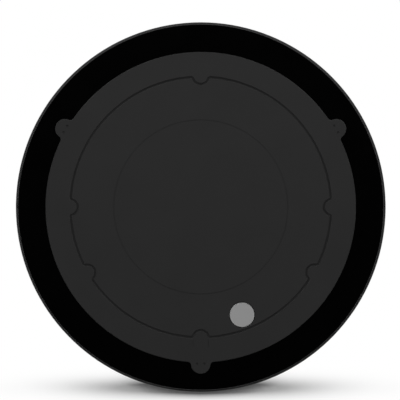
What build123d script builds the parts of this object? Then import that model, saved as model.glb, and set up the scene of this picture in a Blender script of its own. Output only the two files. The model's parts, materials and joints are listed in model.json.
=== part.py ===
from build123d import *
from math import asin, cos, degrees, radians, sin, sqrt
import os

# Disc-shaped robot vacuum, standing on its wheels. Sizes are in millimetres.
# The floor is z = 0, the disc's axis is Z, the front with the bumper is -Y.

# Body
body_radius = 165.0
body_height = 80.0
ground_clearance = 10.0
wall = 2.5
plate_thickness = 2.5
plate_chamfer = 1.5
skirt_depth = 13.0
split_height = 40.0

# Clearances
seat_gap = 0.3
slide_gap = 0.5
shaft_gap = 0.05

# Top rim and the ledge that carries the deck and lid
rim_setback = 2.1
rim_width = 24.7
rim_height = 8.4
rim_drop = 1.0
rim_round = 0.8
ledge_thickness = 3.0
ledge_width = 27.25

# Deck ring, with ears over the rim and lugs into the lid
deck_width = 23.0
deck_edge_round = 0.6
round_wall_share = 0.45
ear_angles = (30, 150, 270)
ear_radius = 8.8
ear_overhang = 1.3
ear_root_round = 3.0
pin_radius = 1.0
pin_spacing = 6.6
pin_sink = 0.5
pin_length = 4.0
front_line_length = 8.0
front_line_width = 0.6
front_line_depth = 0.6

# Lid
lid_thickness = 3.0
lid_gap = 1.5
lug_radius = 6.45
lug_root_round = 1.0
lug_angles = (0, 90, 180, 210, 270, 330)
inner_line_gap = 37.75
inner_line_width = 1.2
inner_line_depth = 0.35
peg_radius = 2.5
peg_length = 4.0
peg_edge_gap = 6.75
peg_angles = (60, 120, 240, 300)

# Power button
button_edge_gap = 12.55
button_angle = 291.0
button_radius = 11.0
button_sink = 0.2
button_thickness = 2.2
button_travel = 1.2
button_stem_radius = 3.0

# Side wall and bumper
side_thickness = 3.5
side_lift = 2.0
side_round = 6.0
side_top_round = 0.8
flange_thickness = 2.5
bumper_travel = 2.0
bumper_top_gap = 0.6
bumper_half_angle = 92.0
plate_edge_gap = 4.5
lap_length = 4.0
lip_thickness = 0.7
tongue_length = 1.0
tongue_height = 8.0
tongue_cover = 2.0
strip_height = 10.0
strip_thickness = 1.2
strip_rise = 21.5
window_half_angle = 48.0
window_height = 11.0
window_drop = 14.0
window_thickness = 1.8
hanger_angles = (-14, -6, 186, 194)
hanger_radius = 1.2
hanger_wall_gap = 3.0
hanger_head_radius = 2.0
hanger_head_height = 1.5
switch_angles = (250, 290)
switch_length = 13.0
switch_width = 6.0
switch_height = 7.0
switch_drop = 15.0
plunger_radius = 1.2

# Wheel modules
wheel_side_depth = 53.0
wheel_width = 18.0
tyre_thickness = 5.0
tread_count = 30
tread_width = 2.2
tread_depth = 1.6
hub_rim_width = 5.0
hub_recess_depth = 5.0
hub_boss_radius = 7.5
hub_hole_count = 6
hub_hole_radius = 6.0
hub_hole_ring_radius = 17.0
axle_radius = 3.0
axle_grip_length = 10.0
axle_end_gap = 1.0
arm_width = 20.0
arm_wheel_gap = 3.0
pivot_arm_length = 46.0
pivot_rise = 4.0
pivot_boss_radius = 11.5
axle_boss_radius = 15.0
journal_radius = 12.5
journal_length = 8.0
drive_motor_radius = 12.0
drive_motor_round = 1.5
motor_battery_gap = 7.2
pivot_pin_radius = 3.0
pivot_pin_grip_length = 10.0
well_wall = 1.5
well_gap = 3.0
well_rear_gap = 6.0
well_head_gap = 2.0
well_roof_gap = 2.5
arm_stop_width = 8.0
arm_stop_gap = 2.0
spring_radius = 5.0
spring_wire_radius = 0.7
spring_turns = 5

# Caster
caster_front_gap = 8.2
caster_wheel_radius = 12.0
caster_wheel_width = 13.0
caster_wheel_round = 2.0
caster_trail = 7.0
caster_axle_radius = 1.5
cheek_thickness = 2.5
cheek_width = 12.0
caster_disc_thickness = 4.0
caster_stem_radius = 4.0
caster_stem_length = 12.0
socket_wall = 1.8
socket_boss_wall = 3.6

# Main brush
brush_y = 46.0
brush_floor_gap = 0.9
brush_core_radius = 8.0
blade_count = 5
blade_thickness = 2.2
blade_root_depth = 1.5
blade_twist_angle = 50.0
blade_steps = 4
brush_shaft_radius = 3.0
bush_radius = 6.0
bush_length = 6.0
brush_end_gap = 1.0
brush_well_gap = 6.4
brush_well_head_gap = 3.0
brush_well_side_gap = 3.0
brush_frame_gap = 1.9
gearbox_width = 9.5
gearbox_round = 4.0
brush_motor_gap = 3.3
brush_motor_length = 32.0
brush_motor_round = 1.5

# Dust bin, with the filter in its front wall
bin_half_width = 68.0
bin_front_gap = 2.0
bin_wall = 1.8
bin_cover_thickness = 2.5
bin_cover_gap = 1.5
face_thickness = 5.0
face_side_width = 4.0
face_top_gap = 3.1
latch_half_width = 18.0
latch_height = 10.0
latch_thickness = 2.7
latch_drop = 10.0
inlet_half_width = 48.0
inlet_rise = 9.5
inlet_head_gap = 4.1
filter_half_width = 42.0
filter_depth = 7.0
filter_pleats = 16
filter_fold_thickness = 1.0
filter_frame_width = 2.0
filter_drop = 2.0
filter_floor_gap = 1.2
runner_width = 3.0
runner_spacing = 100.0
runner_end_gap = 12.5

# Suction fan and its ducts
fan_y = 38.0
fan_stack_height = 27.4
fan_well_gap = 11.5
fan_radius = 31.0
fan_wall = 1.5
fan_inlet_radius = 14.0
impeller_radius = 26.0
impeller_blades = 9
impeller_blade_angle = 20.0
impeller_disc_thickness = 1.5
impeller_gap = 1.5
impeller_tip_gap = 1.0
impeller_head_gap = 4.5
impeller_hub_radius = 4.5
fan_motor_radius = 12.0
fan_shaft_radius = 1.5
duct_width = 16.0
duct_edge_gap = 1.75
duct_end_gap = 4.6
vent_count = 7
vent_width = 3.0
vent_height = 20.0
vent_pitch_angle = 3.0
suction_wall = 1.2
suction_depth = 5.5
suction_height = 4.9
suction_top_gap = 1.0

# Electronics and battery
board_half_width = 58.0
board_button_gap = 7.8
board_rear_y = -19.0
board_thickness = 1.6
board_motor_gap = 2.0
board_round = 4.0
board_post_radius = 3.0
board_post_gap = 6.0
board_screw_radius = 1.2
board_screw_length = 7.0
board_screw_head_radius = 2.4
board_screw_head_height = 1.4
button_switch_width = 6.0
button_switch_height = 3.5
button_switch_cap_radius = 1.7
button_switch_cap_height = 1.0
capacitor_radius = 4.0
capacitor_height = 11.0
cell_radius = 9.2
cell_length = 65.0
cell_count = 4
wrap_height = 15.6
battery_lift = 0.4
battery_gap = 2.5
battery_front_gap = 0.7

# Underside fittings
post_depth = 14.0
post_angles = (40, 140, 235, 305)
post_radius = 4.5
screw_radius = 1.5
screw_head_radius = 3.0
screw_head_height = 1.4
screw_length = 14.0
door_screw_gap = 6.0
grip_count = 6
grip_pitch = 3.0
grip_width = 1.4
grip_depth = 0.8
grip_length = 26.0
grip_edge_gap = 9.0
contact_x = 36.0
contact_forward = 6.0
contact_length = 22.0
contact_width = 8.0
contact_thickness = 1.5
contact_proud = 0.5
lens_depth = 9.0
lens_angles = (200, 225, 315, 340)
lens_length = 12.0
lens_width = 6.0

# Board components: place from the board's middle, plan size and height
components = [
    ((-20, 0), (24, 24), 2.4),
    ((18, 4), (14, 14), 1.6),
    ((-32, -31), (22, 9), 8.0),
    ((-6, -34), (16, 8), 8.0),
    ((42, 18), (12, 10), 6.0),
    ((10, 31), (30, 7), 7.0),
    ((-30, 28), (10, 10), 5.0),
]
capacitors = [(46, -8), (46, -20), (-46, -8)]

# Radii from the outside inwards
skirt_radius = body_radius - skirt_depth
skirt_inner_radius = skirt_radius - wall
side_inner_radius = body_radius - side_thickness
bumper_flange_radius = skirt_radius + bumper_travel + 2 * slide_gap
plate_radius = side_inner_radius - plate_edge_gap
rim_radius = body_radius - rim_setback
deck_radius = rim_radius - rim_width
lid_radius = deck_radius - deck_width
ledge_opening_radius = lid_radius - ledge_width
ear_ring_radius = deck_radius + ear_overhang
pin_ring_radius = deck_radius + pin_radius
lug_ring_radius = lid_radius + lid_gap
bin_rear_radius = body_radius - face_thickness
post_ring_radius = skirt_radius - post_depth
lens_ring_radius = skirt_radius - lens_depth
hanger_ring_radius = side_inner_radius - hanger_wall_gap

# Heights from the top down and from the floor up
ledge_top = body_height - lid_thickness
ledge_bottom = ledge_top - ledge_thickness
rim_top = body_height - rim_drop
rim_bottom = rim_top - rim_height
bumper_top = rim_bottom - bumper_top_gap
chassis_floor = ground_clearance + plate_thickness
side_bottom = chassis_floor + side_lift
strip_middle = side_bottom + strip_rise
tongue_top = bumper_top - tongue_cover - seat_gap
tongue_bottom = tongue_top - tongue_height
window_middle = bumper_top - window_drop
switch_middle = bumper_top - switch_drop

# Wheels, as large as the height under the ledge allows
well_top = ledge_bottom - well_roof_gap - well_wall
wheel_radius = (well_top - well_head_gap) / 2
pivot_height = wheel_radius + pivot_rise
wheel_x = body_radius - wheel_side_depth
wheel_inner_x = wheel_x - wheel_width / 2
wheel_outer_x = wheel_x + wheel_width / 2
arm_outer_x = wheel_inner_x - arm_wheel_gap
arm_inner_x = arm_outer_x - arm_width
arm_top = max(pivot_height + pivot_boss_radius, wheel_radius + axle_boss_radius)
well_inner_x = arm_inner_x - 2 * slide_gap
well_outer_x = wheel_outer_x + well_gap
well_front_y = -pivot_arm_length - max(pivot_boss_radius, journal_radius) - well_gap
well_rear_y = wheel_radius + well_rear_gap

# Caster and battery, one behind the other
caster_hole_radius = caster_trail + caster_wheel_radius + cheek_thickness
caster_y = caster_front_gap + caster_hole_radius + socket_wall - skirt_inner_radius
caster_axle_y = caster_y + caster_trail
caster_disc_bottom = 2 * caster_wheel_radius + 2 * slide_gap
caster_disc_top = caster_disc_bottom + caster_disc_thickness
battery_front_y = caster_y + caster_hole_radius + socket_wall + battery_front_gap
battery_middle_y = battery_front_y + battery_gap + cell_length / 2
battery_half_width = cell_count * cell_radius
bay_half_width = battery_half_width + battery_gap
bay_half_length = cell_length / 2 + battery_gap
contact_y = caster_y - contact_forward
drive_motor_end_x = battery_half_width + motor_battery_gap

# Brush between the wheel wells, as large as the height under the fan allows
brush_well_top = ledge_bottom - fan_stack_height - well_wall
brush_radius = (brush_well_top - brush_well_head_gap - brush_floor_gap) / 2
brush_height = brush_radius + brush_floor_gap
brush_well_half = brush_radius + brush_well_gap
brush_well_x = well_inner_x - 2 * well_wall - brush_well_side_gap
brush_half_length = brush_well_x - bush_length - brush_end_gap
brush_motor_radius = (brush_well_top - chassis_floor) / 2 - brush_motor_gap
brush_well_rear_y = brush_y + brush_well_half + well_wall

# Bin behind the brush well
bin_front_y = brush_well_rear_y + bin_front_gap
bin_bottom = side_bottom + flange_thickness + slide_gap
face_top = rim_bottom - flange_thickness - face_top_gap
face_half_width = bin_half_width + face_side_width
bin_top = face_top - bin_cover_gap - bin_cover_thickness
inlet_bottom = bin_bottom + inlet_rise
inlet_top = brush_well_top - inlet_head_gap
latch_middle = face_top - latch_drop

# Fan over the brush well, with the suction duct over it
fan_bottom = brush_well_top + well_wall
fan_floor = fan_bottom + fan_wall
suction_top = ledge_bottom - suction_top_gap
fan_top = suction_top - suction_height
fan_x = fan_radius + fan_well_gap + well_wall - well_inner_x
disc_top = fan_top - fan_wall - impeller_head_gap
disc_bottom = disc_top - impeller_disc_thickness
fan_motor_top = disc_bottom - impeller_gap
duct_bottom = fan_floor + duct_edge_gap
duct_top = fan_top - fan_wall - duct_edge_gap
duct_middle_y = fan_y + fan_radius - fan_wall - duct_width / 2
duct_half_width = duct_width / 2
duct_reach = sqrt(skirt_inner_radius**2 - (duct_middle_y + duct_half_width + fan_wall) ** 2) - duct_end_gap
vent_angle = 180 - degrees(asin(duct_middle_y / body_radius))
filter_top = bin_top - filter_drop
filter_bottom = fan_bottom + suction_wall + filter_floor_gap


def write(builder, label):
    """Names a finished piece and writes it as one file."""
    builder.part.label = label
    export_step(builder.part, f"parts/{label}.step")


def polar(radius, angle):
    """Point on a circle about the disc's axis."""
    return (radius * cos(radians(angle)), radius * sin(radians(angle)))


def block(low, high, mode=Mode.ADD):
    """Box between two corners, in the part being built."""
    middle = tuple((a + b) / 2 for a, b in zip(low, high))
    with Locations(middle):
        Box(*(abs(b - a) for a, b in zip(low, high)), mode=mode)


def post(point, bottom, top, radius, mode=Mode.ADD):
    """Upright round post or hole, in the part being built."""
    with Locations((*point, bottom)):
        Cylinder(radius, top - bottom, align=(Align.CENTER, Align.CENTER, Align.MIN), mode=mode)


def rod(y, z, start_x, end_x, radius, mode=Mode.ADD):
    """Round rod or hole along X, in the part being built."""
    with BuildSketch(Plane.YZ.offset(start_x)) as section:
        with Locations((y, z)):
            Circle(radius)
    extrude(section.sketch, amount=end_x - start_x, mode=mode)


def radial_plane(angle):
    """Upright plane through the disc's axis, with its x outwards at an angle and its y up."""
    outward = polar(1, angle)
    return Plane(origin=(0, 0, 0), x_dir=(*outward, 0), z_dir=(outward[1], -outward[0], 0))


def facing_plane(angle, radius):
    """Upright plane that faces outwards at an angle, with its y up."""
    outward = polar(1, angle)
    return Plane(origin=(*polar(radius, angle), 0), x_dir=(-outward[1], outward[0], 0), z_dir=(*outward, 0))


def ring_segment(points, start_angle, sweep_angle, mode=Mode.ADD):
    """Polygon of (radius, height) points turned about the disc's axis, in the part being built."""
    with BuildSketch(radial_plane(start_angle)) as section:
        with BuildLine():
            Polyline(*points, close=True)
        make_face()
    revolve(section.sketch, axis=Axis.Z, revolution_arc=sweep_angle, mode=mode)


def ring_block(inner, outer, bottom, top, start_angle, sweep_angle, mode=Mode.ADD):
    """Stretch of a ring with a square section, in the part being built."""
    corners = [(inner, bottom), (outer, bottom), (outer, top), (inner, top)]
    ring_segment(corners, start_angle, sweep_angle, mode)


def side_channel(start_angle, sweep_angle, flange_radius, top):
    """Channel-shaped side wall with rounded outer edges, in the part being built."""
    with BuildSketch(radial_plane(start_angle)) as section:
        with BuildLine():
            Polyline(
                (body_radius, top),
                (body_radius, side_bottom),
                (flange_radius, side_bottom),
                (flange_radius, side_bottom + flange_thickness),
                (side_inner_radius, side_bottom + flange_thickness),
                (side_inner_radius, top - flange_thickness),
                (flange_radius, top - flange_thickness),
                (flange_radius, top),
                close=True,
            )
        make_face()
        fillet(section.vertices().sort_by_distance((body_radius, side_bottom))[0], side_round)
        fillet(section.vertices().sort_by_distance((body_radius, top))[0], side_top_round)
    revolve(section.sketch, axis=Axis.Z, revolution_arc=sweep_angle)


def meeting_corners(sketch, ring, centres, radius):
    """Corners of a sketch where small circles meet a ring about its middle."""
    return [
        corner
        for corner in sketch.vertices()
        if min((corner.center() - centre).length for centre in centres) < radius + shaft_gap
        and abs(corner.center().length - ring) < shaft_gap
    ]


def deck_outline(grow):
    """Round deck outline with its ears, grown by a clearance."""
    ears = [Vector(*polar(ear_ring_radius, angle)) for angle in ear_angles]
    with BuildSketch(Plane.XY.offset(ledge_top)) as outline:
        Circle(deck_radius + grow)
        with Locations(*ears):
            Circle(ear_radius + grow)
        fillet(meeting_corners(outline, deck_radius + grow, ears, ear_radius + grow), ear_root_round - grow)
    return outline.sketch


def lid_outline(grow):
    """Round lid outline with its notches, grown by a clearance."""
    lugs = [Vector(*polar(lug_ring_radius, angle)) for angle in lug_angles]
    notch_radius = lug_radius + lid_gap - grow
    with BuildSketch(Plane.XY.offset(ledge_top)) as outline:
        Circle(lid_radius + grow)
        with Locations(*lugs):
            Circle(notch_radius, mode=Mode.SUBTRACT)
        fillet(meeting_corners(outline, lid_radius + grow, lugs, notch_radius), lug_root_round + grow)
    return outline.sketch


def bin_outline(inset, height):
    """Plan of the bin at a height, drawn in from its edge, with its rear following the disc."""
    front = bin_front_y + inset
    with BuildSketch(Plane.XY.offset(height)) as outline:
        Circle(bin_rear_radius - inset)
        with Locations((0, (front + bin_rear_radius) / 2)):
            Rectangle(2 * (bin_half_width - inset), bin_rear_radius - front, mode=Mode.INTERSECT)
    return outline.sketch


def lens_holes(mode=Mode.ADD):
    """Plates of the drop sensor windows, or their holes, in the part being built."""
    for angle in lens_angles:
        with BuildSketch(Plane.XY.offset(ground_clearance)) as section:
            with Locations(Location((*polar(lens_ring_radius, angle), 0), (0, 0, angle + 90))):
                Rectangle(lens_length, lens_width)
        extrude(section.sketch, amount=plate_thickness, mode=mode)


def contact_plates(bottom, mode=Mode.ADD):
    """Charging contacts from a height upwards, or their recesses, in the part being built."""
    top = ground_clearance + contact_thickness - contact_proud
    for side in (1, -1):
        block(
            (side * contact_x - contact_length / 2, contact_y - contact_width / 2, bottom),
            (side * contact_x + contact_length / 2, contact_y + contact_width / 2, top),
            mode=mode,
        )


def pins(bottom, top, radius, mode=Mode.ADD):
    """Pairs of pins or holes at the roots of the ears, in the part being built."""
    half_angle = degrees(asin(pin_spacing / 2 / pin_ring_radius))
    for angle in ear_angles:
        for offset in (half_angle, -half_angle):
            post(polar(pin_ring_radius, angle + offset), bottom, top, radius, mode)


os.makedirs("parts", exist_ok=True)
button_place = polar(lid_radius - button_edge_gap, button_angle)
board_front_y = button_place[1] - board_button_gap
board_height = pivot_height + drive_motor_radius + board_motor_gap
board_top = board_height + board_thickness
board_middle_y = (board_front_y + board_rear_y) / 2
board_corners = [
    (side * (board_half_width - board_post_gap), y)
    for side in (1, -1)
    for y in (board_front_y + board_post_gap, board_rear_y - board_post_gap)
]

# Chassis pan: floor plate, low wall, runners for the bin and posts for the board
with BuildPart() as chassis:
    post((0, 0), ground_clearance, chassis_floor, plate_radius)
    chamfer(chassis.faces().sort_by(Axis.Z)[0].edges(), plate_chamfer)
    post((0, 0), chassis_floor, split_height, skirt_radius)
    post((0, 0), chassis_floor, split_height, skirt_inner_radius, mode=Mode.SUBTRACT)
    block(
        (-bin_half_width - slide_gap, bin_front_y, chassis_floor),
        (bin_half_width + slide_gap, body_radius, split_height),
        mode=Mode.SUBTRACT,
    )
    for side in (1, -1):
        block(
            (side * well_inner_x, well_front_y, ground_clearance),
            (side * well_outer_x, well_rear_y, chassis_floor),
            mode=Mode.SUBTRACT,
        )
        block(
            (side * runner_spacing / 2 - runner_width / 2, bin_front_y, chassis_floor),
            (
                side * runner_spacing / 2 + runner_width / 2,
                skirt_radius - runner_end_gap,
                bin_bottom - seat_gap,
            ),
        )
    block(
        (-brush_well_x, brush_y - brush_well_half, ground_clearance),
        (brush_well_x, brush_y + brush_well_half, chassis_floor),
        mode=Mode.SUBTRACT,
    )
    block(
        (-bay_half_width, battery_middle_y - bay_half_length, ground_clearance),
        (bay_half_width, battery_middle_y + bay_half_length, chassis_floor),
        mode=Mode.SUBTRACT,
    )
    post((0, caster_y), ground_clearance, chassis_floor, caster_hole_radius, mode=Mode.SUBTRACT)
    contact_plates(ground_clearance, mode=Mode.SUBTRACT)
    lens_holes(mode=Mode.SUBTRACT)
    for angle in post_angles:
        place = polar(post_ring_radius, angle)
        head_top = ground_clearance + screw_head_height
        post(place, ground_clearance, chassis_floor, screw_radius + seat_gap, mode=Mode.SUBTRACT)
        post(place, ground_clearance, head_top, screw_head_radius + seat_gap, mode=Mode.SUBTRACT)
    for corner in board_corners:
        hole_bottom = board_top - board_screw_length - slide_gap
        post(corner, chassis_floor, board_height, board_post_radius)
        post(corner, hole_bottom, board_height, board_screw_radius + shaft_gap, mode=Mode.SUBTRACT)
write(chassis, "chassis")

# Upper housing: black rim, ledge for the deck and lid, skirt down to the chassis, screw posts
with BuildPart() as upper_housing:
    ring_segment(
        [
            (ledge_opening_radius, ledge_bottom),
            (skirt_inner_radius, ledge_bottom),
            (skirt_inner_radius, split_height),
            (skirt_radius, split_height),
            (skirt_radius, rim_bottom),
            (rim_radius, rim_bottom),
            (rim_radius, rim_top),
            (deck_radius + seat_gap, rim_top),
            (deck_radius + seat_gap, ledge_top),
            (ledge_opening_radius, ledge_top),
        ],
        0,
        360,
    )
    rim_edges = upper_housing.edges().filter_by(GeomType.CIRCLE)
    fillet(
        [
            edge
            for edge in rim_edges
            if abs(edge.radius - rim_radius) < seat_gap and abs(edge.center().Z - rim_top) < seat_gap
        ],
        rim_round,
    )
    extrude(deck_outline(seat_gap), amount=lid_thickness, mode=Mode.SUBTRACT)
    pins(body_height - pin_sink - pin_length, ledge_top, pin_radius + shaft_gap, mode=Mode.SUBTRACT)
    for angle in post_angles:
        place = polar(post_ring_radius, angle)
        post(place, chassis_floor, ledge_bottom, post_radius)
        post(place, chassis_floor, chassis_floor + screw_length, screw_radius + shaft_gap, mode=Mode.SUBTRACT)
    for angle in peg_angles:
        place = polar(lid_radius - peg_edge_gap, angle)
        post(place, ledge_bottom, ledge_top, peg_radius + seat_gap, mode=Mode.SUBTRACT)
    cap_bottom = body_height - button_sink - button_thickness - button_travel - seat_gap
    post(button_place, ledge_bottom, ledge_top, button_stem_radius + seat_gap, mode=Mode.SUBTRACT)
    post(button_place, cap_bottom, ledge_top, button_radius + slide_gap, mode=Mode.SUBTRACT)
    block(
        (-bin_half_width - slide_gap, bin_front_y, split_height),
        (bin_half_width + slide_gap, skirt_radius, face_top + slide_gap),
        mode=Mode.SUBTRACT,
    )
    block(
        (-skirt_radius, duct_middle_y - duct_half_width, duct_bottom),
        (-duct_reach, duct_middle_y + duct_half_width, duct_top),
        mode=Mode.SUBTRACT,
    )
    for angle in switch_angles:
        with BuildSketch(facing_plane(angle, skirt_radius)):
            with Locations((0, switch_middle)):
                Circle(plunger_radius + seat_gap)
        extrude(amount=-2 * wall, mode=Mode.SUBTRACT)
write(upper_housing, "upper_housing")

# Deck ring: annulus with three ears over the rim and six lugs into the lid's notches
with BuildPart() as deck_ring:
    extrude(deck_outline(0), amount=lid_thickness)
    extrude(lid_outline(lid_gap), amount=lid_thickness, mode=Mode.SUBTRACT)
    fillet(deck_ring.faces().sort_by(Axis.Z)[-1].edges(), deck_edge_round)
    pins(ledge_top, body_height, pin_radius + shaft_gap, mode=Mode.SUBTRACT)
    for side in (1, -1):
        block(
            (side * lug_radius, -lug_ring_radius - front_line_length, body_height - front_line_depth),
            (
                side * (lug_radius + front_line_width),
                -lug_ring_radius - lug_root_round,
                body_height,
            ),
            mode=Mode.SUBTRACT,
        )
write(deck_ring, "deck_ring")

# Fixing pins, two at the root of each ear
with BuildPart() as deck_pins:
    pins(body_height - pin_sink - pin_length, body_height - pin_sink, pin_radius)
write(deck_pins, "deck_pins")

# Lid: notched disc with a shallow line, a hole for the button and pegs underneath
with BuildPart() as lid:
    inner_line_radius = lid_radius - inner_line_gap
    line_bottom = body_height - inner_line_depth
    extrude(lid_outline(0), amount=lid_thickness)
    post(button_place, ledge_top, body_height, button_radius + slide_gap, mode=Mode.SUBTRACT)
    button_wall = button_edge_gap - button_radius - slide_gap
    fillet(lid.faces().sort_by(Axis.Z)[-1].edges(), min(deck_edge_round, round_wall_share * button_wall))
    ring_block(
        inner_line_radius - inner_line_width / 2,
        inner_line_radius + inner_line_width / 2,
        line_bottom,
        body_height,
        0,
        360,
        mode=Mode.SUBTRACT,
    )
    for angle in peg_angles:
        post(polar(lid_radius - peg_edge_gap, angle), ledge_top - peg_length, ledge_top, peg_radius)
write(lid, "lid")

# Power button: cap in the lid's hole, on a stem through the ledge
button_top = body_height - button_sink
switch_top = board_top + button_switch_height + button_switch_cap_height
with BuildPart() as power_button:
    post(button_place, button_top - button_thickness, button_top, button_radius)
    fillet(power_button.faces().sort_by(Axis.Z)[-1].edges(), deck_edge_round)
    post(
        button_place,
        switch_top + button_travel + shaft_gap,
        button_top - button_thickness,
        button_stem_radius,
    )
write(power_button, "power_button")

# Switch under the button's stem
with BuildPart() as button_switch:
    half = button_switch_width / 2
    body_top = board_top + button_switch_height
    block(
        (button_place[0] - half, button_place[1] - half, board_top),
        (button_place[0] + half, button_place[1] + half, body_top),
    )
    post(button_place, body_top, switch_top, button_switch_cap_radius)
write(button_switch, "button_switch")

# Rear side wall, lapped and tongued into the bumper's ends, with the bin's window and the exhaust slots
bumper_end_angle = bumper_half_angle - 90
gap_angle = degrees((bumper_travel + slide_gap) / body_radius)
lap_angle = degrees(lap_length / body_radius)
tongue_angle = degrees(tongue_length / body_radius)
rear_start_angle = bumper_end_angle - lap_angle
with BuildPart() as rear_wall:
    side_channel(rear_start_angle, 180 - 2 * rear_start_angle, skirt_radius, rim_bottom)
    for start_angle in (rear_start_angle, 180 - bumper_end_angle - gap_angle):
        ring_block(
            body_radius - lip_thickness - seat_gap,
            body_radius + side_thickness,
            side_bottom,
            rim_bottom,
            start_angle,
            lap_angle + gap_angle,
            mode=Mode.SUBTRACT,
        )
    for start_angle in (bumper_end_angle - tongue_angle, 180 - bumper_end_angle - gap_angle):
        ring_block(
            side_inner_radius,
            body_radius,
            tongue_bottom,
            tongue_top,
            start_angle,
            gap_angle + tongue_angle,
        )
    block(
        (-face_half_width - slide_gap, bin_front_y, bin_bottom - slide_gap),
        (face_half_width + slide_gap, body_radius, face_top + slide_gap),
        mode=Mode.SUBTRACT,
    )
    for k in range(vent_count):
        slot_angle = vent_angle + (k - (vent_count - 1) / 2) * vent_pitch_angle
        with BuildSketch(facing_plane(slot_angle, body_radius)):
            with Locations((0, (duct_bottom + duct_top) / 2)):
                SlotOverall(vent_height, vent_width, rotation=90)
        extrude(amount=-2 * side_thickness, mode=Mode.SUBTRACT)
write(rear_wall, "rear_wall")

# Bumper: front half of the side wall, notched for the tongues, with grooves for the strip and window
bumper_start_angle = 270 - bumper_half_angle
bumper_sweep_angle = 2 * bumper_half_angle
thin_angle = lap_angle + gap_angle
notch_angle = tongue_angle + gap_angle
strip_ring = (
    strip_middle - strip_height / 2,
    strip_middle + strip_height / 2,
    bumper_start_angle + 2 * thin_angle,
    bumper_sweep_angle - 4 * thin_angle,
)
window_ring = (
    window_middle - window_height / 2,
    window_middle + window_height / 2,
    270 - window_half_angle,
    2 * window_half_angle,
)
with BuildPart() as bumper_shell:
    side_channel(bumper_start_angle, bumper_sweep_angle, bumper_flange_radius, bumper_top)
    for start_angle in (bumper_start_angle, bumper_start_angle + bumper_sweep_angle - thin_angle):
        ring_block(
            skirt_radius,
            body_radius - lip_thickness,
            side_bottom,
            bumper_top,
            start_angle,
            thin_angle,
            mode=Mode.SUBTRACT,
        )
    for start_angle in (bumper_start_angle, bumper_start_angle + bumper_sweep_angle - notch_angle):
        ring_block(
            side_inner_radius,
            body_radius + wall,
            tongue_bottom - seat_gap,
            tongue_top + seat_gap,
            start_angle,
            notch_angle,
            mode=Mode.SUBTRACT,
        )
    ring_block(body_radius - strip_thickness, body_radius + wall, *strip_ring, mode=Mode.SUBTRACT)
    ring_block(body_radius - window_thickness, body_radius + wall, *window_ring, mode=Mode.SUBTRACT)
    slot_width = 2 * (hanger_radius + seat_gap)
    for angle in hanger_angles:
        place = polar(hanger_ring_radius, angle)
        with BuildSketch(Plane.XY.offset(bumper_top)):
            with Locations((place[0], place[1] - bumper_travel / 2)):
                SlotOverall(bumper_travel + slot_width, slot_width, rotation=90)
        extrude(amount=-flange_thickness, mode=Mode.SUBTRACT)
write(bumper_shell, "bumper_shell")

# Soft strip along the bumper
with BuildPart() as bumper_strip:
    ring_block(body_radius - strip_thickness, body_radius, *strip_ring)
write(bumper_strip, "bumper_strip")

# Dark window over the bumper's distance sensors
with BuildPart() as sensor_window:
    ring_block(body_radius - window_thickness, body_radius, *window_ring)
write(sensor_window, "sensor_window")

# Headed pins under the rim that the bumper hangs and slides on
with BuildPart() as bumper_hangers:
    head_top = bumper_top - flange_thickness - slide_gap
    head_bottom = head_top - hanger_head_height
    for angle in hanger_angles:
        place = polar(hanger_ring_radius, angle)
        post(place, head_bottom, rim_bottom, hanger_radius)
        post(place, head_bottom, head_top, hanger_head_radius)
write(bumper_hangers, "bumper_hangers")

# Two switches behind the bumper, with plungers through the skirt
with BuildPart() as bumper_switches:
    switch_face = sqrt(skirt_inner_radius**2 - (switch_length / 2) ** 2) - shaft_gap
    for angle in switch_angles:
        with BuildSketch(facing_plane(angle, switch_face)):
            with Locations((0, switch_middle)):
                Rectangle(switch_length, switch_height)
        extrude(amount=-switch_width)
        with BuildSketch(facing_plane(angle, switch_face)):
            with Locations((0, switch_middle)):
                Circle(plunger_radius)
        extrude(amount=skirt_radius + seat_gap - switch_face)
write(bumper_switches, "bumper_switches")


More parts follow.
